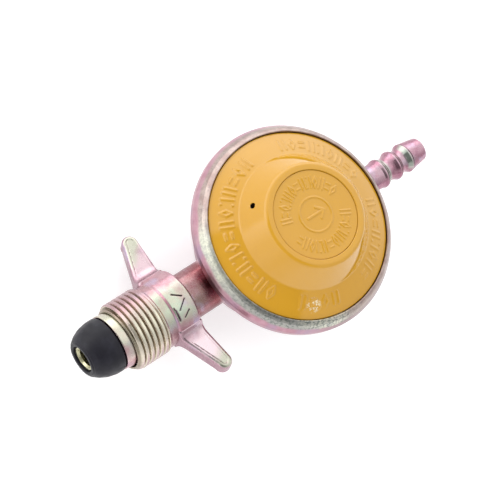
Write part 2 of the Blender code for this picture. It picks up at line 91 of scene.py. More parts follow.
NOZZLE_START = reach("outlet_nozzle", 0, 0)
NOZZLE_END = reach("outlet_nozzle", 1, 0)
BARB_RADIUS = reach("outlet_nozzle", 1, 1)

# Sizes that a box doesn't hold
SEAT_HEIGHT = CAP_LOW + 0.4
EDGE_HEIGHT = 29.25
THREAD_RADIUS = 11.2
THREAD_DEPTH = 1.0
THREAD_PITCH = 1.814
HUB_FRONT = -48.6
WING_ANGLE = -17.0
WING_REACH = 26.25
WING_HALF = 2.35
BARB_CRESTS = (43.8, 49.6, 55.0)
NECK_RADIUS = 7.7
BOSS_RADIUS = 7.0
VENT_PLACE = (-14.33, 12.35, 37.85)
VENT_SHADE_HEART = (-13.98, 12.05, 37.56)
GLINT_PLACE = (-11.6, -22.8, 31.2)

# How many sides turned pieces have
COVER_SIDES = 720
CAP_SIDES = 480
NUT_SIDES = 384
CASING_SIDES = 256
SMALL_SIDES = 128


# Outlines

def rounded(corners, steps=6):
    """An outline through (radius, height, fillet) corners, with each fillet as an arc."""
    points = []
    for index, (radius, height, fillet) in enumerate(corners):
        here = Vector((radius, height))
        if not fillet or index in (0, len(corners) - 1):
            points.append(here)
            continue
        back = Vector(corners[index - 1][:2]) - here
        ahead = Vector(corners[index + 1][:2]) - here
        half = back.angle(ahead) / 2.0
        setback = min(fillet / math.tan(half), 0.48 * back.length, 0.48 * ahead.length)
        turn = setback * math.tan(half)
        back.normalize()
        ahead.normalize()
        centre = here + (back + ahead).normalized() * (turn / math.sin(half))
        start = here + back * setback - centre
        end = here + ahead * setback - centre
        sweep = start.angle_signed(end)
        for step in range(steps + 1):
            points.append(centre + Matrix.Rotation(-sweep * step / steps, 2) @ start)
    return points


def finer(points, spacing, low, high, along=1):
    """Splits the outline's long stretches where their middle lies between two limits."""
    made = [points[0]]
    for first, second in zip(points, points[1:]):
        middle = (first[along] + second[along]) / 2.0
        length = (second - first).length
        count = max(1, math.ceil(length / spacing)) if low <= middle <= high else 1
        for step in range(1, count + 1):
            made.append(first.lerp(second, step / count))
    return made


# Meshes

SAME_SPOT = 1e-7            # metres
ON_AXIS = 1e-6


def add_object(name, vertices, faces, sharp=40.0):
    """A smooth-shaded object whose edges sharper than an angle in degrees stay crisp."""
    mesh = bpy.data.meshes.new(name)
    mesh.from_pydata([tuple(v) for v in vertices], [], faces)
    shape = bmesh.new()
    shape.from_mesh(mesh)
    bmesh.ops.remove_doubles(shape, verts=shape.verts, dist=SAME_SPOT)
    bmesh.ops.recalc_face_normals(shape, faces=shape.faces)
    shape.to_mesh(mesh)
    shape.free()
    mesh.shade_smooth()
    mesh.set_sharp_from_angle(angle=math.radians(sharp))
    obj = bpy.data.objects.new(name, mesh)
    bpy.context.scene.collection.objects.link(obj)
    return obj


def steady_normals(obj):
    """Keeps wide flats flat beside small fillets."""
    step = obj.modifiers.new("steady_normals", "WEIGHTED_NORMAL")
    step.keep_sharp = True
    return obj


def outline_normals(points):
    """Unit normals of an outline that runs with its solid on the left, as (radius, height)."""
    spots = np.array([tuple(p) for p in points])
    ahead = np.gradient(spots, axis=0)
    ahead /= np.maximum(np.linalg.norm(ahead, axis=1, keepdims=True), 1e-9)
    return spots, np.stack([ahead[:, 1], -ahead[:, 0]], axis=1)


def lathe(name, points, sides, axis="Z", relief=None, sharp=40.0):
    """Turns an outline of (radius, height) points. relief(turn, radius, height) lifts the skin.

    An outline runs with the solid on its left, seen with radius to the right and height up.
    """
    spots, normals = outline_normals(points)
    turn = np.arange(sides) * math.tau / sides
    radius = np.repeat(spots[:, 0][:, None], sides, axis=1)
    height = np.repeat(spots[:, 1][:, None], sides, axis=1)
    if relief is not None:
        lift = relief(turn[None, :], radius, height)
        radius = radius + lift * normals[:, 0][:, None]
        height = height + lift * normals[:, 1][:, None]
    across = radius * np.cos(turn)
    up = radius * np.sin(turn)
    if axis == "Z":
        grid = np.stack([across, up, height], axis=2)
    else:
        grid = np.stack([height, across, up + PIPE_HEIGHT], axis=2)
    rows = len(spots)
    index = np.arange(rows * sides).reshape(rows, sides)
    ahead = np.roll(index, -1, axis=1)
    faces = []
    for row in range(rows):
        following = (row + 1) % rows
        if max(spots[row, 0], spots[following, 0]) >= ON_AXIS:
            faces += list(zip(index[row], ahead[row], ahead[following], index[following]))
    return add_object(name, grid.reshape(-1, 3) * MM, faces, sharp)


def smoothstep(low, high, value):
    """0 up to one limit and 1 past the other, with a smooth rise or fall between them."""
    share = np.clip((value - low) / (high - low), 0.0, 1.0)
    return share * share * (3.0 - 2.0 * share)


def stroke(across, along, start, end, half_width, soft):
    """A raised stroke between two points: 1 on it, falling smoothly to 0 at its edge."""
    ax, ay = start
    bx, by = end
    dx, dy = bx - ax, by - ay
    share = np.clip(((across - ax) * dx + (along - ay) * dy) / max(dx * dx + dy * dy, 1e-9), 0.0, 1.0)
    gap = np.hypot(across - ax - share * dx, along - ay - share * dy)
    return 1.0 - smoothstep(half_width - soft, half_width + soft, gap)


# The casting

# The bowl's wall, as (radius, height) at its foot and under the rim
BOWL_FOOT = (24.2, 0.0)
BOWL_TOP = (29.1, 20.9)


def casing_outline():
    """The bowl, its rim and rolled lip, and the pocket that holds the cover's flange."""
    return rounded([
        (0.0, 0.6, 0.0), (13.4, 0.6, 0.3), (14.0, 0.0, 0.3),
        (BOWL_FOOT[0], BOWL_FOOT[1], 2.4), (BOWL_TOP[0], BOWL_TOP[1], 0.7),
        (31.2, 20.9, 1.2), (RIM_RADIUS, 23.0, 1.6), (RIM_RADIUS, 25.4, 0.9), (32.7, 26.75, 0.9),
        (31.5, 28.8, 0.9), (30.9, LIP_TOP - 0.5, 0.6), (30.2, LIP_TOP, 0.35),
        (29.9, LIP_TOP - 0.25, 0.2), (29.85, 27.4, 0.0),
        (31.2, 27.4, 0.0), (31.2, 24.1, 0.0), (26.5, 24.1, 0.0), (26.0, 18.8, 0.0),
        (22.2, 4.0, 0.8), (21.0, 3.0, 0.0), (0.0, 3.0, 0.0),
    ], steps=8)


def rim_relief(turn, radius, height):
    """The rolled lip is slightly uneven, as a spun edge is."""
    on_lip = smoothstep(26.4, 27.2, height) * smoothstep(29.9, 30.3, radius)
    waves = np.sin(turn * 7.0 + 0.6) + 0.6 * np.sin(turn * 17.0 + 2.0) + 0.5 * np.sin(turn * 41.0)
    return 0.035 * on_lip * waves


def bowl_radius(height):
    """The bowl's radius outside at a height."""
    share = (height - BOWL_FOOT[1]) / (BOWL_TOP[1] - BOWL_FOOT[1])
    return BOWL_FOOT[0] + share * (BOWL_TOP[0] - BOWL_FOOT[0])


BRANCH_SIDES = 192
BRANCH_EDGE = 0.5           # how far a branch's end is rounded
BRANCH_BORE_DEPTH = 3.0
BRANCH_ROOT = 22.0          # how far from the axis a branch ends inside the bowl
FOOT_SUNK = 0.05            # how far the fillet's foot stands inside the bowl's wall


def branch(name, direction, radius, end, bore, fillet):
    """A round branch off the bowl, with a fillet all round where it leaves the wall."""
    turn = np.arange(BRANCH_SIDES) * math.tau / BRANCH_SIDES
    rows = []

    def ring(at, size):
        along = np.full(BRANCH_SIDES, at) if np.isscalar(at) else at
        rows.append(np.stack([along, size * np.cos(turn), PIPE_HEIGHT + size * np.sin(turn)], axis=1))

    ring(end - direction * BRANCH_BORE_DEPTH, bore)
    ring(end, bore)
    for degrees in range(0, 91, 15):
        angle = math.radians(degrees)
        setback = BRANCH_EDGE * (1.0 - math.cos(angle))
        ring(end - direction * setback, radius - BRANCH_EDGE * (1.0 - math.sin(angle)))
    foot_radius = radius + fillet
    side = foot_radius * np.cos(turn)
    foot_wall = bowl_radius(PIPE_HEIGHT + foot_radius * np.sin(turn))
    foot = direction * (np.sqrt(foot_wall ** 2 - side ** 2) - FOOT_SUNK)
    corner_wall = bowl_radius(PIPE_HEIGHT + radius * np.sin(turn))
    corner = direction * np.sqrt(corner_wall ** 2 - (radius * np.cos(turn)) ** 2)
    start = corner + direction * fillet
    for step in range(13):
        share = step / 12
        along = (1 - share) ** 2 * start + 2 * share * (1 - share) * corner + share ** 2 * foot
        size = (1 - share) ** 2 * radius + 2 * share * (1 - share) * radius + share ** 2 * foot_radius
        ring(along, size)
    ring(direction * BRANCH_ROOT, radius)
    ring(direction * BRANCH_ROOT, bore * 0.5)
    vertices = np.concatenate(rows)
    index = np.arange(len(vertices)).reshape(len(rows), BRANCH_SIDES)
    ahead = np.roll(index, -1, axis=1)
    faces = []
    for row in range(len(rows) - 1):
        faces += list(zip(index[row], ahead[row], ahead[row + 1], index[row + 1]))
    faces.append(tuple(index[0]))
    faces.append(tuple(index[-1][::-1]))
    return add_object(name, vertices * MM, faces, 50.0)


# The cover

COVER_EDGE_RADIUS = 29.68
CAP_GAP = 0.06


def cover_outline():
    """The painted cover, from its clamped flange up to the seat that takes the cap."""
    points = rounded([
        (COVER_FLANGE, FLANGE_LOW, 0.0), (COVER_FLANGE, 27.05, 0.0), (COVER_EDGE_RADIUS, 27.05, 0.0),
        (COVER_EDGE_RADIUS, EDGE_HEIGHT, 0.3), (25.3, 31.7, 6.0), (21.6, 33.6, 1.3), (16.1, COVER_TOP, 2.2),
        (CAP_RADIUS + CAP_GAP, COVER_TOP, 0.3), (CAP_RADIUS + CAP_GAP, SEAT_HEIGHT, 0.0),
        (11.5, SEAT_HEIGHT, 0.0), (11.5, 31.0, 0.0), (13.3, 31.0, 0.0), (13.3, SEAT_HEIGHT - 1.3, 0.0),
        (16.2, SEAT_HEIGHT - 1.3, 1.0), (19.3, 33.0, 1.0), (28.2, 27.4, 0.0), (28.2, FLANGE_LOW, 0.0),
    ], steps=8)
    return finer(points, 0.16, EDGE_HEIGHT - 0.05, COVER_TOP - 0.1)


# Turn, in degrees from the outlet, where each run of raised marks starts and ends, how many
# marks it has, and their relief
MARK_RUNS = (
    (99.0, 214.0, 14, 0.32), (74.0, 6.0, 9, 0.18), (-10.0, -74.0, 8, 0.24), (-95.0, -130.0, 4, 0.26),
)
MARK_BAND = (23.3, 26.7)
MARK_PATTERN = (0, 1, 2, 0, 3, 1, 0, 2, 1, 3, 0, 2, 0, 1)
DASH_INSET = 0.8
DOT_LENGTH = 0.1
VENT_DEPTH = 1.15


def mark_strokes(kind, low, high, wide):
    """A plain raised mark: two bars, a diamond, two level dashes, or a bar and two dots."""
    middle = (low + high) / 2.0
    if kind == 0:
        return [((-wide, low), (-wide, high)), ((wide, low), (wide, high))]
    if kind == 1:
        corners = [(0.0, low), (wide, middle), (0.0, high), (-wide, middle), (0.0, low)]
        return list(zip(corners, corners[1:]))
    if kind == 2:
        low, high = low + DASH_INSET, high - DASH_INSET
        return [((-wide, low), (wide, low)), ((-wide, high), (wide, high))]
    bar = ((-wide, low), (-wide, high))
    return [bar, ((wide, low), (wide, low + DOT_LENGTH)), ((wide, high - DOT_LENGTH), (wide, high))]


def cover_relief(turn, radius, height):
    """The raised marks round the cover, and the vent's dent in its cone."""
    lift = np.zeros_like(radius)
    outside = (height > 28.5) & (radius < 29.0)
    band = smoothstep(29.2, 29.7, height)
    for start, end, count, relief in MARK_RUNS:
        for number in range(count):
            centre = math.radians(start + (end - start) * (number + 0.5) / count)
            near = np.angle(np.exp(1j * (turn - centre)))
            across = near * radius
            kind = MARK_PATTERN[number % len(MARK_PATTERN)]
            for first, second in mark_strokes(kind, *MARK_BAND, 0.85):
                lift = np.maximum(lift, relief * stroke(across, radius, first, second, 0.34, 0.2))
    lift = lift * outside * band * (height < 33.5)
    x, y, z = VENT_PLACE
    level = (radius * np.cos(turn) - x) ** 2 + (radius * np.sin(turn) - y) ** 2
    gap = np.sqrt(level + (height - z) ** 2)
    vent = 1.0 - smoothstep(0.74, 0.9, gap)
    on_slope = outside & (radius > 16.0)
    return lift - VENT_DEPTH * vent * on_slope


def cap_outline():
    """The press-in cap: a disc a little below the cover's top, with a ring under it."""
    top = COVER_TOP
    points = rounded([
        (0.0, top - 0.35, 0.0), (CAP_RADIUS, top - 0.35, 0.2), (CAP_RADIUS, top - 0.8, 0.0),
        (CAP_RADIUS, SEAT_HEIGHT + 0.3, 0.0), (11.2, SEAT_HEIGHT + 0.3, 0.0), (11.2, CAP_LOW, 0.0),
        (10.2, CAP_LOW, 0.0), (10.2, SEAT_HEIGHT + 0.3, 0.0), (0.0, SEAT_HEIGHT + 0.3, 0.0),
    ], steps=5)
    return finer(points[::-1], 0.17, 0.0, 12.9, along=0)


CAP_RUNS = ((170.0, 14.0, 13), (-19.0, -162.0, 12))
CAP_BAND = (8.3, 11.7)
CAP_PATTERN = (0, 2, 1, 3, 0, 1, 2, 0, 3, 1, 0, 2, 1)
CAP_RELIEF = 0.22
CAP_RING_RADIUS = 5.4
ARROW = (((-3.0, 0.0), (3.2, 0.0)), ((3.2, 0.0), (1.1, 1.9)), ((3.2, 0.0), (1.1, -1.9)))


def cap_relief(turn, radius, height):
    """The cap's raised marks, and an arrow in a ring at its middle."""
    lift = np.zeros_like(radius)
    for start, end, count in CAP_RUNS:
        for number in range(count):
            centre = math.radians(start + (end - start) * (number + 0.5) / count)
            near = np.angle(np.exp(1j * (turn - centre)))
            kind = CAP_PATTERN[number % len(CAP_PATTERN)]
            for first, second in mark_strokes(kind, *CAP_BAND, 0.6):
                lift = np.maximum(lift, stroke(near * radius, radius, first, second, 0.24, 0.2))
    x = radius * np.cos(turn)
    y = radius * np.sin(turn)
    for first, second in ARROW:
        lift = np.maximum(lift, stroke(x, y, first, second, 0.38, 0.2))
    ring = 1.0 - smoothstep(0.16, 0.42, np.abs(radius - CAP_RING_RADIUS))
    lift = np.maximum(lift, ring)
    return CAP_RELIEF * lift * (height > COVER_TOP - 0.6) * (radius < 12.6)


# The wing nut

def nut_outline():
    """The nut's threaded end, plain shank and hub, before the thread is cut."""
    front, back = NUT_FRONT, NUT_BACK
    outside = rounded([
        (9.4, front + 2.5, 0.0), (9.4, front, 0.15), (9.95, front, 0.15), (THREAD_RADIUS, front + 1.7, 0.3),
        (THREAD_RADIUS, -52.6, 0.6), (10.6, -51.6, 0.4), (10.6, HUB_FRONT - 0.35, 0.3),
        (THREAD_RADIUS, HUB_FRONT + 0.3, 0.35), (THREAD_RADIUS, back, 2.3), (9.2, back, 0.0),
        (8.0, back, 0.15), (8.0, back - 5.0, 0.0), (6.3, back - 5.0, 0.0), (6.3, front + 2.5, 0.0),
    ])
    return finer(outside, 0.13, front + 0.05, back - 0.3)


def thread_relief(turn, radius, height):
    """A left-hand helical groove that fades into the plain shank, and the hub's stamped marks."""
    outer = radius > 9.9
    phase = (height - NUT_FRONT) / THREAD_PITCH + turn / math.tau
    wave = np.abs((phase % 1.0) - 0.5) * 2.0
    groove = 1.0 - smoothstep(0.02, 0.56, wave)
    fade = smoothstep(NUT_FRONT + 0.2, NUT_FRONT + 0.9, height) * (1.0 - smoothstep(-53.3, -51.9, height))
    cut = THREAD_DEPTH * groove * fade * outer
    return -cut - hub_marks(turn, radius, height) * outer


STAMP_DEPTH = 0.34

# Each stroke's first turn and height, then its last, with turns in radians about the nut's axis
HUB_STROKES = (
    (1.30, -46.2, 1.48, -43.6), (1.58, -43.3, 1.80, -46.4), (1.90, -43.6, 2.04, -45.7),
    (4.50, -46.2, 4.72, -43.4), (4.9, -45.8, 4.9, -43.4),
    (1.66, -47.9, 2.06, -47.7), (1.74, -47.62, 2.02, -47.5),
)


def hub_marks(turn, radius, height):
    """Shallow stamped strokes that say nothing, on both sides of the hub."""
    depth = np.zeros_like(radius)
    for first_turn, first_height, second_turn, second_height in HUB_STROKES:
        across = (turn - first_turn) * THREAD_RADIUS
        end = (second_turn - first_turn) * THREAD_RADIUS
        mark = stroke(across, height, (0.0, first_height), (end, second_height), 0.16, 0.12)
        depth = np.maximum(depth, mark)
    return STAMP_DEPTH * depth


WING_EDGE = 1.15            # how far a wing's edges are rounded
WING_ROOT_FILLET = 3.2
WING_TIP_RADIUS = 2.6
WING_TIP = (-41.7, WING_REACH - WING_TIP_RADIUS)
WING_FRONT_ROOT = (-49.4, 10.8)
WING_BACK_ROOT = (-40.3, 10.8)
WING_LEAN = 0.4             # how much nearer the nose the second wing's tip stands


def wing_edges(y, lean):
    """Front and back X of a wing's outline at a distance out from the nut's axis."""
    tip = WING_TIP[0] - lean
    front_root = WING_FRONT_ROOT[0] + lean
    share = (y - WING_FRONT_ROOT[1]) / (WING_TIP[1] - WING_FRONT_ROOT[1])
    front = front_root + share * (tip - WING_TIP_RADIUS - front_root)
    back = WING_BACK_ROOT[0] + share * (tip + WING_TIP_RADIUS - WING_BACK_ROOT[0])
    if y > WING_TIP[1]:
        half = math.sqrt(max(WING_TIP_RADIUS ** 2 - (y - WING_TIP[1]) ** 2, 0.0))
        return tip - half, tip + half
    return front, back


def wing_depth(x, y, lean):
    """How far inside the wing's outline a point lies."""
    if y > WING_TIP[1]:
        return WING_TIP_RADIUS - math.hypot(x - WING_TIP[0] + lean, y - WING_TIP[1])
    front, back = wing_edges(y, lean)
    return min(x - front, back - x)


def wing_half(x, y, lean):
    """Half the wing's thickness: round edges, a sunk panel, and a fillet up to the hub."""
    depth = wing_depth(x, y, lean)
    inside = min(max(depth, 0.0), WING_EDGE)
    half = WING_HALF - WING_EDGE + math.sqrt(max(WING_EDGE ** 2 - (WING_EDGE - inside) ** 2, 0.0))
    panel = smoothstep(1.25, 1.6, depth) * smoothstep(12.6, 14.2, y)
    half -= 0.12 * float(panel)
    if x < WING_TIP[0]:
        half -= 0.22 * math.exp(-((depth - 1.4) / 0.14) ** 2) * float(smoothstep(13.0, 15.0, y))
    below = min(max(WING_FRONT_ROOT[1] + 2.8 - y, 0.0), WING_ROOT_FILLET)
    half += (WING_ROOT_FILLET - math.sqrt(WING_ROOT_FILLET ** 2 - below ** 2)) * 0.85
    return half


def make_wing(name, side):
    """One wing, built from closed rings that run outward from the hub."""
    stations = list(np.linspace(8.2, WING_TIP[1], 56))
    stations += [WING_TIP[1] + WING_TIP_RADIUS * math.sin(math.radians(a)) for a in range(5, 90, 5)]
    stations += [WING_REACH - 0.002]
    shares = 0.5 - 0.5 * np.cos(np.linspace(0.0, math.pi, 81))
    slant = math.radians(WING_ANGLE)
    lean = 0.0 if side > 0.0 else WING_LEAN
    rings = []
    for y in stations:
        front, back = wing_edges(y, lean)
        upper = []
        lower = []
        for share in shares:
            x = front + share * (back - front)
            half = wing_half(x, y, lean)
            upper.append((x, y, half))
            lower.append((x, y, -half))
        rings.append(upper + lower[::-1])
    count = len(rings[0])
    vertices = []
    for ring in rings:
        for x, y, z in ring:
            y, z = side * y, side * z
            turned_y = y * math.cos(slant) - z * math.sin(slant)
            turned_z = y * math.sin(slant) + z * math.cos(slant)
            vertices.append((x * MM, turned_y * MM, (PIPE_HEIGHT + turned_z) * MM))
    faces = []
    for row in range(len(rings) - 1):
        for spot in range(count):
            ahead = (spot + 1) % count
            faces.append((row * count + spot, row * count + ahead,
                          (row + 1) * count + ahead, (row + 1) * count + spot))
    faces.append(tuple(range(count)))
    faces.append(tuple(range(len(vertices) - count, len(vertices))))
    return add_object(name, vertices, faces, 50.0)


# The inlet's nose and stem

def nose_outline():
    """The rubber nose, with the bore that takes the stem's tip."""
    front, back = NOSE_FRONT, NOSE_BACK
    return rounded([
        (4.3, back, 0.0), (4.3, front + 0.25, 0.2), (4.6, front, 0.25), (5.55, front, 0.35),
        (5.8, front + 0.42, 0.1), (6.15, front + 0.5, 0.3), (7.35, front + 2.1, 4.0),
        (8.4, front + 4.3, 5.0), (NOSE_RADIUS, front + 7.2, 4.0), (NOSE_RADIUS, back - 0.5, 0.35),
        (8.6, back, 0.25),
    ], steps=8)


def lean_inlet(obj):
    """The soft nose and the stem's end sit a little off the pipe's axis."""
    for vertex in obj.data.vertices:
        share = smoothstep(-62.0, -67.0, vertex.co.x / MM)
        further = smoothstep(-67.0, -77.0, vertex.co.x / MM)
        vertex.co.y += (0.6 * float(share) + 0.25 * float(further)) * MM
    return obj


def stem_outline():
    """The inlet stem with its bore, its tip inside the nose, and the collar behind it."""
    collar_front, collar_back = NOSE_BACK + 0.3, NUT_FRONT + 0.8
    return rounded([
        (2.8, STEM_END, 0.0), (2.8, STEM_TIP + 0.7, 0.2), (3.25, STEM_TIP, 0.12), (3.9, STEM_TIP, 0.15),
        (4.0, STEM_TIP + 0.4, 0.1), (4.0, collar_front, 0.0), (COLLAR_RADIUS, collar_front, 0.3),
        (COLLAR_RADIUS, collar_back, 0.25), (6.0, collar_back, 0.0), (6.0, NECK_FRONT - 1.2, 0.0),
        (5.0, NECK_FRONT - 1.2, 0.0), (5.0, STEM_END, 0.0),
    ])


# The hose nozzle

NOZZLE_BORE = 1.9
BARB_VALLEY = 3.95


def nozzle_outline():
    """The hose nozzle: a round barb at each crest, with a fine groove after it."""
    first = BARB_CRESTS[0]
    corners = [(NOZZLE_BORE, NOZZLE_START, 0.0), (4.2, NOZZLE_START, 0.0), (4.2, OUTLET_BOSS_END + 0.3, 0.0),
               (4.55, OUTLET_BOSS_END + 0.3, 0.1), (4.55, first - 2.6, 1.6), (4.72, first - 1.2, 0.5)]
    for number, crest in enumerate(BARB_CRESTS):
        corners += [(BARB_RADIUS, crest - 0.45, 0.2), (BARB_RADIUS, crest + 0.1, 0.05),
                    (BARB_RADIUS - 0.3, crest + 0.28, 0.05), (BARB_RADIUS - 0.12, crest + 0.5, 0.1)]
        if crest == BARB_CRESTS[-1]:
            break
        following = BARB_CRESTS[number + 1]
        corners += [(BARB_VALLEY + 0.3, crest + 1.5, 0.9),
                    (BARB_VALLEY, crest + 0.5 * (following - crest), 3.0),
                    (BARB_VALLEY + 0.45, following - 1.5, 1.2)]
    corners += [(4.02, NOZZLE_END - 0.5, 0.5), (3.4, NOZZLE_END, 0.35), (2.1, NOZZLE_END, 0.2),
                (NOZZLE_BORE, NOZZLE_END - 0.3, 0.1)]
    points = rounded(corners)
    return points[1:] + [Vector((NOZZLE_BORE, NOZZLE_START))]


# Finishes

def feed(tree, value, socket):
    """Links another node's output to an input, or sets a constant on it."""
    if isinstance(value, bpy.types.NodeSocket):
        tree.links.new(value, socket)
    elif isinstance(value, tuple):
        socket.default_value = (*value, 1.0)
    else:
        socket.default_value = value


def add_ramp(tree, value, low, high, to_low, to_high):
    """A smooth ramp from one value to another between two limits."""
    node = tree.nodes.new("ShaderNodeMapRange")
    node.interpolation_type = "SMOOTHSTEP"
    node.inputs["From Min"].default_value = low
    node.inputs["From Max"].default_value = high
    node.inputs["To Min"].default_value = to_low
    node.inputs["To Max"].default_value = to_high
    tree.links.new(value, node.inputs["Value"])
    return node.outputs["Result"]


def add_maths(tree, operation, *values):
    node = tree.nodes.new("ShaderNodeMath")
    node.operation = operation
    for value, socket in zip(values, node.inputs):
        feed(tree, value, socket)
    return node.outputs["Value"]


class Nodes:
    """A short way to build a material's nodes."""

    def __init__(self, name):
        self.material = bpy.data.materials.new(name)
        self.material.use_nodes = True
        self.tree = self.material.node_tree
        self.shader = self.tree.nodes["Principled BSDF"]
        self.place = self.tree.nodes.new("ShaderNodeTexCoord")

    def add(self, kind, **settings):
        node = self.tree.nodes.new(kind)
        for key, value in settings.items():
            setattr(node, key, value)
        return node

    def link(self, source, target):
        self.tree.links.new(source, target)

    def noise(self, scale, detail=3.0, rough=0.5, stretch=None):
        node = self.add("ShaderNodeTexNoise")
        node.inputs["Scale"].default_value = scale
        node.inputs["Detail"].default_value = detail
        node.inputs["Roughness"].default_value = rough
        spot = self.place.outputs["Object"]
        if stretch:
            mapping = self.add("ShaderNodeMapping")
            mapping.inputs["Scale"].default_value = stretch
            self.link(spot, mapping.inputs["Vector"])
            spot = mapping.outputs["Vector"]
        self.link(spot, node.inputs["Vector"])
        return node.outputs["Fac"]

    def span(self, value, low, high, to_low=0.0, to_high=1.0):
        return add_ramp(self.tree, value, low, high, to_low, to_high)

    def blend(self, share, first, second):
        """Mixes two colours: the Mix node's colour sockets are its inputs 6 and 7 and its output 2."""
        node = self.add("ShaderNodeMix", data_type="RGBA")
        for value, number in ((share, 0), (first, 6), (second, 7)):
            feed(self.tree, value, node.inputs[number])
        return node.outputs[2]

    def maths(self, operation, *values):
        return add_maths(self.tree, operation, *values)

    def wander(self, scale, width):
        """Noise that strays half a width, in metres, to either side of zero."""
        return self.maths("MULTIPLY_ADD", self.noise(scale, 3.0), width, -width / 2.0)

    def away_from(self, spot):
        """Distance from a spot in millimetres."""
        node = self.add("ShaderNodeVectorMath", operation="DISTANCE")
        self.link(self.place.outputs["Object"], node.inputs[0])
        node.inputs[1].default_value = [value * MM for value in spot]
        return node.outputs["Value"]

    def parts(self, output):
        node = self.add("ShaderNodeSeparateXYZ")
        self.link(self.place.outputs[output], node.inputs["Vector"])
        return node.outputs

    def bump(self, height, strength, distance):
        node = self.add("ShaderNodeBump")
        node.inputs["Strength"].default_value = strength
        node.inputs["Distance"].default_value = distance * MM
        self.link(height, node.inputs["Height"])
        self.link(node.outputs["Normal"], self.shader.inputs["Normal"])

    def set(self, **values):
        for key, value in values.items():
            feed(self.tree, value, self.shader.inputs[key.replace("_", " ")])


PINK = (0.56, 0.37, 0.41)
DEEP_PINK = (0.46, 0.22, 0.26)
PAINTED_HIGHLIGHT_PINK = (0.58, 0.43, 0.47)
PAINTED_HIGHLIGHT_GREEN = (0.50, 0.56, 0.43)
PAINTED_HIGHLIGHT_BRIGHT_GREEN = (0.45, 0.45, 0.365)
PAINTED_HIGHLIGHT_CREAM = (0.60, 0.54, 0.44)
VIOLET = (0.42, 0.33, 0.46)
PAINTED_SHADE_MAROON = (0.20, 0.035, 0.045)


GRAIN_TINT = (0.66, 0.64, 0.60)
PLATING_TINTS = (PINK, DEEP_PINK, PAINTED_HIGHLIGHT_GREEN, PAINTED_HIGHLIGHT_CREAM)


def plating(name, highlight_share=0.5, roughness=0.26, tints=PLATING_TINTS, highlight_from=0.60):
    """Passivated zinc: pink with violet patches in the film, and pale green and cream patches painted on
    upward faces as a painted highlight.
    """
    made = Nodes(name)
    light, deep, green, warm = tints
    patches = made.noise(110.0, 3.0, 0.55)
    film = made.noise(260.0, 4.0, 0.6)
    facing = made.parts("Normal")[2]
    # Painted highlight: upward faces get the pale tints, in noise patches.
    top = made.span(facing, highlight_from, 0.97, 0.0, highlight_share)
    share = made.maths("MULTIPLY", top, made.span(patches, 0.30, 0.62))
    base = made.blend(made.span(film, 0.38, 0.62), light, deep)
    base = made.blend(made.span(made.noise(170.0, 2.0), 0.54, 0.72, 0.0, 0.8), base, VIOLET)
    pale = made.blend(made.span(film, 0.35, 0.65), green, warm)
    made.base = made.blend(share, base, pale)
    made.grain = made.noise(2600.0, 2.0, 0.6)
    rough = made.span(made.noise(420.0, 3.0), 0.3, 0.7, roughness - 0.06, roughness + 0.1)
    made.set(Metallic=1.0, Roughness=rough)
    made.bump(made.grain, 0.35, 0.05)
    return made


def finish_plating(made):
    """Adds a fine pale grain to a plating's tints, once they are all mixed."""
    base = made.blend(made.span(made.grain, 0.3, 0.75, 0.0, 0.16), made.base, GRAIN_TINT)
    made.set(Base_Color=base)
    return made.material


def thread_finish():
    """The nut's plating: pale cream on the thread where its faces turn slightly towards -Y, a painted
    highlight; olive deep in the thread's grooves and black in the stamped strokes.
    """
    tints = ((0.44, 0.25, 0.29), (0.36, 0.17, 0.21), (0.45, 0.54, 0.42), (0.52, 0.52, 0.41))
    made = plating("plated_thread_skin", 1.0, tints=tints, highlight_from=0.74)
    spots = made.parts("Object")
    lift = made.maths("SUBTRACT", spots[2], PIPE_HEIGHT * MM)
    squares = made.maths("ADD", made.maths("POWER", spots[1], 2.0), made.maths("POWER", lift, 2.0))
    away = made.maths("SQRT", squares)
    threaded = made.span(spots[0], -52.6 * MM, -51.0 * MM, 0.75, 0.0)
    # Painted highlight: on the thread, faces turned slightly towards -Y are pale cream, and faces turned
    # towards +Y or straight to -Y are pink.
    highlight_facing = made.parts("Normal")[1]
    crest = made.blend(made.span(highlight_facing, -0.1, 0.6), (0.71, 0.68, 0.53), (0.38, 0.25, 0.26))
    crest = made.blend(made.span(highlight_facing, -0.92, -0.62, 0.85, 0.0), crest, (0.46, 0.29, 0.32))
    made.base = made.blend(threaded, made.base, crest)
    # Olive-dark deep in the thread's grooves.
    deep_groove_olive = made.span(away, 10.25 * MM, 10.75 * MM, 0.75, 0.0)
    made.base = made.blend(deep_groove_olive, made.base, (0.20, 0.16, 0.10))
    on_hub = made.span(spots[0], (HUB_FRONT + 0.6) * MM, (HUB_FRONT + 0.9) * MM)
    sunk = made.span(away, 10.98 * MM, 11.12 * MM, 1.0, 0.0)
    before_edge = made.span(spots[0], (NUT_BACK - 2.4) * MM, (NUT_BACK - 2.1) * MM, 1.0, 0.0)
    ink = made.maths("MULTIPLY", made.maths("MULTIPLY", on_hub, sunk), before_edge)
    made.base = made.blend(ink, made.base, (0.03, 0.035, 0.03))
    return finish_plating(made)


def neck_finish():
    """Deeper pink, with maroon painted shade under the rim."""
    tints = ((0.31, 0.145, 0.165), (0.24, 0.09, 0.105), (0.20, 0.165, 0.15), (0.24, 0.19, 0.14))
    made = plating("plated_neck_skin", 0.6, roughness=0.22, tints=tints)
    spots = made.parts("Object")
    # Painted shade: maroon on the inlet's neck where the rim overhangs it, fading out towards the nut.
    near = made.span(made.maths("ADD", spots[0], made.wander(150.0, 0.006)), -38.5 * MM, -31.0 * MM)
    inlet = made.span(spots[0], 0.0, 5.0 * MM, 1.0, 0.0)
    made.base = made.blend(made.maths("MULTIPLY", near, inlet), made.base, PAINTED_SHADE_MAROON)
    at_wall = made.span(made.maths("ABSOLUTE", spots[0]), 28.8 * MM, 31.0 * MM, 1.0, 0.0)
    made.base = made.blend(at_wall, made.base, (0.43, 0.24, 0.285))
    return finish_plating(made)


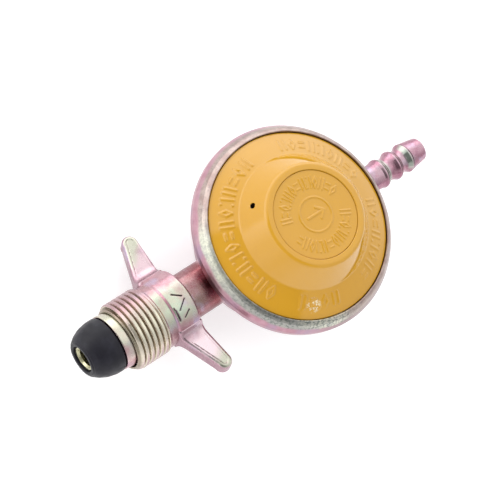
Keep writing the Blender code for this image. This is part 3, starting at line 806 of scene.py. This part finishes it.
def wing_finish():
    """Pink at the roots; upward faces get pale pink, paler on the second wing, and pale green towards the
    tips, further out on the second wing, all as painted highlight.
    """
    tints = ((0.38, 0.225, 0.275), (0.33, 0.18, 0.23), PAINTED_HIGHLIGHT_PINK, PAINTED_HIGHLIGHT_PINK)
    made = plating("plated_wing_skin", 1.0, tints=tints, highlight_from=0.3)
    spots = made.parts("Object")
    slant = made.maths("MULTIPLY", made.maths("ADD", spots[0], 45.0 * MM), -0.5)
    place = made.maths("ADD", made.maths("ADD", spots[1], made.wander(120.0, 0.008)), slant)
    up = made.span(made.parts("Normal")[2], 0.55, 0.85)
    # Painted highlight: the second wing's upward faces are paler pink.
    second = made.maths("MULTIPLY", made.span(spots[1], -14.0 * MM, -10.0 * MM, 1.0, 0.0), up)
    made.base = made.blend(second, made.base, (0.72, 0.57, 0.61))
    first_end = made.span(place, 15.5 * MM, 19.0 * MM)
    second_end = made.span(place, -23.5 * MM, -19.0 * MM, 1.0, 0.0)
    ends = made.maths("ADD", first_end, second_end)
    # Painted highlight: pale green on upward faces towards the tips.
    made.base = made.blend(made.maths("MULTIPLY", ends, up), made.base, PAINTED_HIGHLIGHT_BRIGHT_GREEN)
    return finish_plating(made)


def nozzle_finish():
    """Pink, with pale green painted on upward faces past the first crest and before the last as a painted
    highlight, and a dark line of painted shade in the fine groove behind each crest.
    """
    tints = ((0.38, 0.175, 0.24), (0.30, 0.115, 0.175), (0.46, 0.33, 0.37), (0.42, 0.36, 0.42))
    made = plating("plated_nozzle_skin", 0.7, roughness=0.22, tints=tints, highlight_from=0.72)
    spots = made.parts("Object")
    up = made.span(made.parts("Normal")[2], 0.2, 0.7)
    # Painted highlight: pale green on upward faces near the first and last crests.
    for place in (BARB_CRESTS[0] + 1.0, BARB_CRESTS[2] - 1.0):
        gap = made.maths("ABSOLUTE", made.maths("SUBTRACT", spots[0], place * MM))
        green = made.maths("MULTIPLY", made.span(gap, 0.3 * MM, 1.4 * MM, 0.9, 0.0), up)
        made.base = made.blend(green, made.base, (0.36, 0.43, 0.36))
    # Painted shade: a dark line in the fine groove just behind each crest.
    for crest in BARB_CRESTS:
        gap = made.maths("ABSOLUTE", made.maths("SUBTRACT", spots[0], (crest + 0.28) * MM))
        line = made.span(gap, 0.12 * MM, 0.26 * MM, 0.8, 0.0)
        made.base = made.blend(line, made.base, (0.10, 0.07, 0.07))
    return finish_plating(made)


def stem_finish():
    """The stem is cream where it shows inside the rubber nose; faces turned towards +Y get cream as a
    painted highlight.
    """
    made = plating("plated_stem_skin", 0.9, highlight_from=0.2)
    spots = made.parts("Object")
    # Painted highlight: cream on faces turned towards +Y.
    highlight_facing = made.span(made.parts("Normal")[1], 0.0, 0.5, 0.0, 0.8)
    made.base = made.blend(highlight_facing, made.base, (0.50, 0.50, 0.38))
    tip = made.span(spots[0], -73.0 * MM, -71.0 * MM, 1.0, 0.0)
    made.base = made.blend(tip, made.base, (0.50, 0.48, 0.30))
    return finish_plating(made)


def toward(made, x, y):
    """How far a spot lies from the axis in a level direction."""
    spots = made.parts("Object")
    return made.maths("ADD", made.maths("MULTIPLY", spots[0], x), made.maths("MULTIPLY", spots[1], y))


def casing_finish():
    """The casting's plating: pink round the side, with painted shade on its +X -Y side; gritty on the rolled
    lip, which is pale green as a painted highlight on its -X -Y side, with painted shade in it towards -X
    -Y, and violet on its far side.
    """
    made = Nodes("plated_casting_skin")
    spots = made.parts("Object")
    patches = made.noise(95.0, 3.0, 0.55)
    film = made.noise(300.0, 4.0, 0.62)
    base = made.blend(made.span(film, 0.36, 0.64), (0.46, 0.27, 0.32), (0.40, 0.21, 0.255))
    base = made.blend(made.span(made.noise(150.0, 2.0), 0.50, 0.76, 0.0, 0.7), base, (0.36, 0.28, 0.38))
    base = made.blend(made.span(patches, 0.45, 0.75, 0.0, 0.3), base, (0.48, 0.38, 0.36))
    # Painted shade: the side towards +X and -Y is darker.
    painted_shade_side = made.maths("MULTIPLY", made.span(spots[0], -16.0 * MM, -2.0 * MM),
                           made.span(spots[1], -24.0 * MM, -6.0 * MM, 0.85, 0.0))
    base = made.blend(painted_shade_side, base, (0.27, 0.205, 0.205))
    wander = made.wander(140.0, 0.0014)
    level = made.maths("ADD", spots[2], wander)
    lip = made.span(level, 26.8 * MM, 27.7 * MM)
    flecks = made.noise(1300.0, 3.0, 0.75)
    # The lip's pale green is partly film colour and partly a painted highlight, kept to the side towards -X
    # -Y with violet on the far side.
    green = made.blend(made.span(film, 0.32, 0.68), (0.62, 0.62, 0.51), (0.45, 0.45, 0.41))
    # Painted shade darkens the lip towards -X -Y; the dark grit flecks are real, and grow denser towards -Y
    # as painted shade.
    shade = made.span(spots[1], -26.0 * MM, 4.0 * MM, 0.80, 0.30)
    shadow = toward(made, -0.80, -0.60)
    green = made.blend(made.span(shadow, 25.0 * MM, 31.0 * MM, 0.0, 0.68), green, (0.27, 0.265, 0.26))
    dark_flecks = made.maths("MULTIPLY", made.span(flecks, 0.46, 0.60), shade)
    green = made.blend(dark_flecks, green, (0.13, 0.15, 0.14))
    violet = made.blend(made.span(film, 0.36, 0.64), (0.41, 0.33, 0.30), (0.32, 0.235, 0.215))
    violet = made.blend(made.span(flecks, 0.50, 0.66, 0.0, 0.6), violet, (0.22, 0.19, 0.19))
    near = made.maths("ADD", toward(made, -0.88, -0.47), made.maths("MULTIPLY", wander, 4.0))
    far = made.span(near, 10.0 * MM, 23.0 * MM, 1.0, 0.0)
    base = made.blend(lip, base, made.blend(far, green, violet))
    rough = made.blend(lip, (0.28, 0.28, 0.28), (0.33, 0.33, 0.33))
    grain = made.blend(lip, made.noise(1900.0, 2.0, 0.5), flecks)
    made.set(Base_Color=base, Metallic=1.0, Roughness=rough)
    made.bump(grain, 0.5, 0.10)
    return made.material


def paint_finish():
    """Golden gloss paint: faint orange peel, a painted glint of pale flecks, and black painted in the vent's
    dent as painted shade.
    """
    made = Nodes("golden_paint_skin")
    drift = made.noise(45.0, 2.0, 0.5)
    base = made.blend(made.span(drift, 0.35, 0.65), (0.515, 0.263, 0.014), (0.505, 0.255, 0.013))
    # Painted shade: black in the vent's dent, where the open hole would be dark, with no coat there.
    vent = made.span(made.away_from(VENT_SHADE_HEART), 0.96 * MM, 1.04 * MM, 1.0, 0.0)
    speck = made.noise(1400.0, 2.0, 0.6)
    base = made.blend(made.span(speck, 0.62, 0.78, 0.0, 0.2), base, (0.42, 0.22, 0.02))
    # Painted glint: pale flecks round one spot on the cover.
    glint_spot = made.span(made.away_from(GLINT_PLACE), 1.2 * MM, 3.0 * MM, 1.0, 0.0)
    glint_flecks = made.maths("MULTIPLY", glint_spot, made.span(made.noise(1100.0, 3.0, 0.7), 0.50, 0.58))
    base = made.blend(glint_flecks, base, (0.70, 0.62, 0.42))
    base = made.blend(vent, base, (0.010, 0.006, 0.003))
    made.set(Base_Color=base, Metallic=0.0, Roughness=0.35, Specular_IOR_Level=0.0,
             Coat_Roughness=0.06, Coat_IOR=1.6, Coat_Weight=made.maths("SUBTRACT", 1.0, vent))
    made.bump(made.noise(700.0, 2.0, 0.5), 0.12, 0.06)
    return made.material


def rubber_finish():
    """The nose's soft black rubber, with a faint bloom."""
    made = Nodes("nose_rubber_skin")
    bloom = made.noise(160.0, 4.0, 0.6)
    base = made.blend(made.span(bloom, 0.45, 0.75), (0.007, 0.0066, 0.011), (0.014, 0.0135, 0.021))
    rough = made.span(made.noise(500.0, 3.0), 0.3, 0.7, 0.40, 0.56)
    made.set(Base_Color=base, Specular_IOR_Level=0.26, Roughness=rough)
    made.bump(made.noise(2400.0, 3.0, 0.6), 0.2, 0.05)
    return made.material


def plain_metal(name, light, dark, roughness):
    """A hidden piece's metal: turned or stamped, with slight stains."""
    made = Nodes(name)
    base = made.blend(made.span(made.noise(220.0, 4.0, 0.6), 0.35, 0.7), light, dark)
    rough = made.span(made.noise(900.0, 3.0), 0.3, 0.7, roughness - 0.08, roughness + 0.1)
    made.set(Base_Color=base, Metallic=1.0, Roughness=rough)
    made.bump(made.noise(3000.0, 2.0, 0.5, (0.2, 1.0, 1.0)), 0.15, 0.03)
    return made.material


def dull_finish(name, light, dark, roughness, grain):
    """A hidden piece's rubber or fibre."""
    made = Nodes(name)
    base = made.blend(made.span(made.noise(grain, 4.0, 0.65), 0.35, 0.7), light, dark)
    made.set(Base_Color=base, Roughness=roughness)
    made.bump(made.noise(grain * 2.5, 3.0, 0.6), 0.3, 0.06)
    return made.material


# Placing pieces

def finish_piece(obj, material, body, node):
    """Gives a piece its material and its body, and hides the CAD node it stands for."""
    obj.data.materials.clear()
    obj.data.materials.append(material)
    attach(obj, body)
    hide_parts(node)
    return obj


def make_outside():
    """Every piece that shows, in place of its CAD node."""
    casing_skin = casing_finish()
    wing_skin = wing_finish()
    neck_skin = neck_finish()
    thread_skin = thread_finish()
    paint = paint_finish()

    shell = lathe("casing_shell", casing_outline(), CASING_SIDES, relief=rim_relief)
    finish_piece(steady_normals(shell), casing_skin, "casing", "casing")
    neck = branch("inlet_neck_skin", -1.0, NECK_RADIUS, NECK_FRONT, 5.3, 2.6)
    finish_piece(neck, neck_skin, "casing", "casing")
    boss = branch("outlet_boss_skin", 1.0, BOSS_RADIUS, OUTLET_BOSS_END, 4.5, 2.2)
    finish_piece(boss, neck_skin, "casing", "casing")

    cover = lathe("cover_shell", cover_outline(), COVER_SIDES, relief=cover_relief, sharp=60.0)
    finish_piece(cover, paint, "casing", "cover")
    cap = lathe("cap_shell", cap_outline(), CAP_SIDES, relief=cap_relief, sharp=60.0)
    finish_piece(cap, paint, "casing", "sealing_cap")

    nut = lathe("nut_thread_and_hub", nut_outline(), NUT_SIDES, axis="X", relief=thread_relief,
                sharp=60.0)
    finish_piece(nut, thread_skin, "nut", "wing_nut")
    for number, side in enumerate((1.0, -1.0)):
        wing = make_wing(f"nut_wing_{number}", side)
        finish_piece(wing, wing_skin, "nut", "wing_nut")

    nose = lean_inlet(lathe("rubber_nose", nose_outline(), SMALL_SIDES, axis="X"))
    finish_piece(nose, rubber_finish(), "casing", "nose_seal")
    stem = lean_inlet(steady_normals(lathe("stem_and_collar", stem_outline(), SMALL_SIDES, axis="X")))
    finish_piece(stem, stem_finish(), "casing", "inlet_stem")
    nozzle = lathe("hose_nozzle", nozzle_outline(), SMALL_SIDES, axis="X")
    finish_piece(nozzle, nozzle_finish(), "casing", "outlet_nozzle")


def copy_of(node, name, keep_from=None, keep_to=None):
    """A new piece with a CAD node's shape, cut off square below or above a height and closed there."""
    obj = bpy.data.objects.new(name, frame["nodes"][node].data.copy())
    bpy.context.scene.collection.objects.link(obj)
    height = keep_to if keep_from is None else keep_from
    if height is None:
        return obj
    shape = bmesh.new()
    shape.from_mesh(obj.data)
    cut = bmesh.ops.bisect_plane(
        shape, geom=shape.verts[:] + shape.edges[:] + shape.faces[:],
        dist=SAME_SPOT, plane_co=(0.0, 0.0, height * MM), plane_no=(0.0, 0.0, 1.0),
        clear_outer=keep_from is None, clear_inner=keep_to is None)
    edges = [item for item in cut["geom_cut"] if isinstance(item, bmesh.types.BMEdge)]
    bmesh.ops.holes_fill(shape, edges=edges)
    shape.to_mesh(obj.data)
    shape.free()
    return obj


def flexing(obj, material, node):
    """A hidden piece with its finish, its transform baked in and its CAD node hidden."""
    obj.data.materials.clear()
    obj.data.materials.append(material)
    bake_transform(obj)
    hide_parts(node)


def make_flexing(spring_finish, sheet_finish):
    """The spring, cut in two at its middle height, and a copy of the diaphragm, in place of their CAD nodes.
    """
    low, high = reach("main_spring", 0, 2), reach("main_spring", 1, 2)
    middle = (low + high) / 2.0
    flexing(copy_of("main_spring", "spring_lower_half", keep_to=middle), spring_finish, "main_spring")
    flexing(copy_of("main_spring", "spring_upper_half", keep_from=middle), spring_finish, "main_spring")
    flexing(copy_of("diaphragm", "diaphragm_sheet"), sheet_finish, "diaphragm")


def dress_inside():
    """The hidden CAD nodes keep their shape and get a finish. The spring and diaphragm are replaced."""
    zinc = plain_metal("zinc_skin", (0.62, 0.63, 0.64), (0.45, 0.46, 0.47), 0.45)
    steel = plain_metal("steel_skin", (0.56, 0.56, 0.57), (0.40, 0.40, 0.41), 0.32)
    spring = plain_metal("spring_steel_skin", (0.42, 0.42, 0.44), (0.25, 0.25, 0.27), 0.28)
    brass = plain_metal("brass_skin", (0.80, 0.58, 0.26), (0.60, 0.40, 0.16), 0.28)
    sheet = dull_finish("sheet_rubber_skin", (0.028, 0.028, 0.028), (0.05, 0.05, 0.05), 0.7, 900.0)
    fibre = dull_finish("fibre_skin", (0.42, 0.18, 0.10), (0.30, 0.12, 0.07), 0.85, 1200.0)
    by_slot = {"zinc": zinc, "steel": steel, "spring_steel": spring, "brass": brass,
               "sheet_rubber": sheet, "fibre": fibre}
    for entry in frame["record"]["subparts"]:
        material = by_slot.get(entry["material_slot"])
        if material:
            mesh = frame["nodes"][entry["node"]].data
            mesh.materials.clear()
            mesh.materials.append(material)
    make_flexing(spring, sheet)


# The studio

FLOOR_HALF = 3.0            # metres
TENT_STRENGTH = 1.45
TENT_OPENING = 0.24
TENT_SIDE = 0.88
FILL_POWER = 1.35


def make_floor():
    """A plain pale floor at height 0."""
    corners = [(x * FLOOR_HALF, y * FLOOR_HALF, 0.0) for x, y in ((-1, -1), (1, -1), (1, 1), (-1, 1))]
    mesh = bpy.data.meshes.new("floor")
    mesh.from_pydata(corners, [], [(0, 1, 2, 3)])
    floor = bpy.data.objects.new("floor", mesh)
    bpy.context.scene.collection.objects.link(floor)
    made = Nodes("pale_floor")
    made.set(Base_Color=(0.66, 0.66, 0.66), Roughness=0.9,
             Emission_Color=(1.0, 1.0, 1.0), Emission_Strength=0.50)
    mesh.materials.append(made.material)


def area_light(name, place, target, size, power):
    """A round white lamp that faces a target, with places in metres."""
    data = bpy.data.lights.new(name, "AREA")
    data.shape = "DISK"
    data.size = size
    data.energy = power
    obj = bpy.data.objects.new(name, data)
    bpy.context.scene.collection.objects.link(obj)
    obj.location = Vector(place)
    obj.rotation_euler = (Vector(target) - Vector(place)).to_track_quat("-Z", "Y").to_euler()
    return obj


def make_light():
    """A white tent that is open behind the camera, with a brighter wall on the +Y side."""
    world = bpy.data.worlds.new("studio")
    bpy.context.scene.world = world
    world.use_nodes = True
    tree = world.node_tree
    background = tree.nodes["Background"]
    place = tree.nodes.new("ShaderNodeTexCoord")
    parts = tree.nodes.new("ShaderNodeSeparateXYZ")
    tree.links.new(place.outputs["Generated"], parts.inputs["Vector"])

    def ramp(axis, *limits):
        return add_ramp(tree, parts.outputs[axis], *limits)

    def maths(operation, *values):
        return add_maths(tree, operation, *values)

    overhead = ramp("X", -0.09, -0.02, TENT_OPENING, 1.0)
    near_floor = ramp("Z", 0.44, 0.52, 1.0, TENT_OPENING)
    bright_side = ramp("Y", 0.36, 0.46, TENT_OPENING, 1.0)
    wall = maths("MAXIMUM", maths("MAXIMUM", overhead, near_floor), bright_side)
    side = maths("MULTIPLY", ramp("Y", 0.0, 0.7, 0.0, 1.0), ramp("Z", 0.45, 0.75, 1.0, 0.0))
    glow = maths("MULTIPLY_ADD", side, TENT_SIDE, 1.0)
    dim_side = ramp("Y", -0.70, -0.15, 0.62, 1.0)
    strength = maths("MULTIPLY", maths("MULTIPLY", wall, maths("MULTIPLY", glow, dim_side)), TENT_STRENGTH)
    tree.links.new(strength, background.inputs["Strength"])
    background.inputs["Color"].default_value = (1.0, 1.0, 1.0, 1.0)
    fill = area_light("fill", (-0.34, -0.30, 0.42), (0.0, 0.0, 0.02), 0.40, FILL_POWER)
    fill.visible_glossy = False


# The camera's place and target in millimetres, its roll in degrees and its lens on a 36 mm sensor
CAMERA_PLACE = (-241.2, 1.3, 482.9)
CAMERA_TARGET = (-20.13, 5.74, 30.0)
CAMERA_ROLL = 56.49
CAMERA_LENS = 125.4


def make_camera():
    """The camera that looks down on the cover from the inlet's side."""
    data = bpy.data.cameras.new("camera")
    data.lens = CAMERA_LENS
    data.sensor_width = 36.0
    data.clip_start = 0.01
    camera = bpy.data.objects.new("camera", data)
    bpy.context.scene.collection.objects.link(camera)
    place = Vector(CAMERA_PLACE) * MM
    look = (Vector(CAMERA_TARGET) * MM - place).to_track_quat("-Z", "Y")
    camera.location = place
    camera.rotation_mode = "QUATERNION"
    camera.rotation_quaternion = look @ Matrix.Rotation(math.radians(CAMERA_ROLL), 3, "Z").to_quaternion()
    bpy.context.scene.camera = camera


make_outside()
dress_inside()
make_floor()
make_light()
make_camera()
bpy.context.scene.view_settings.view_transform = "Standard"
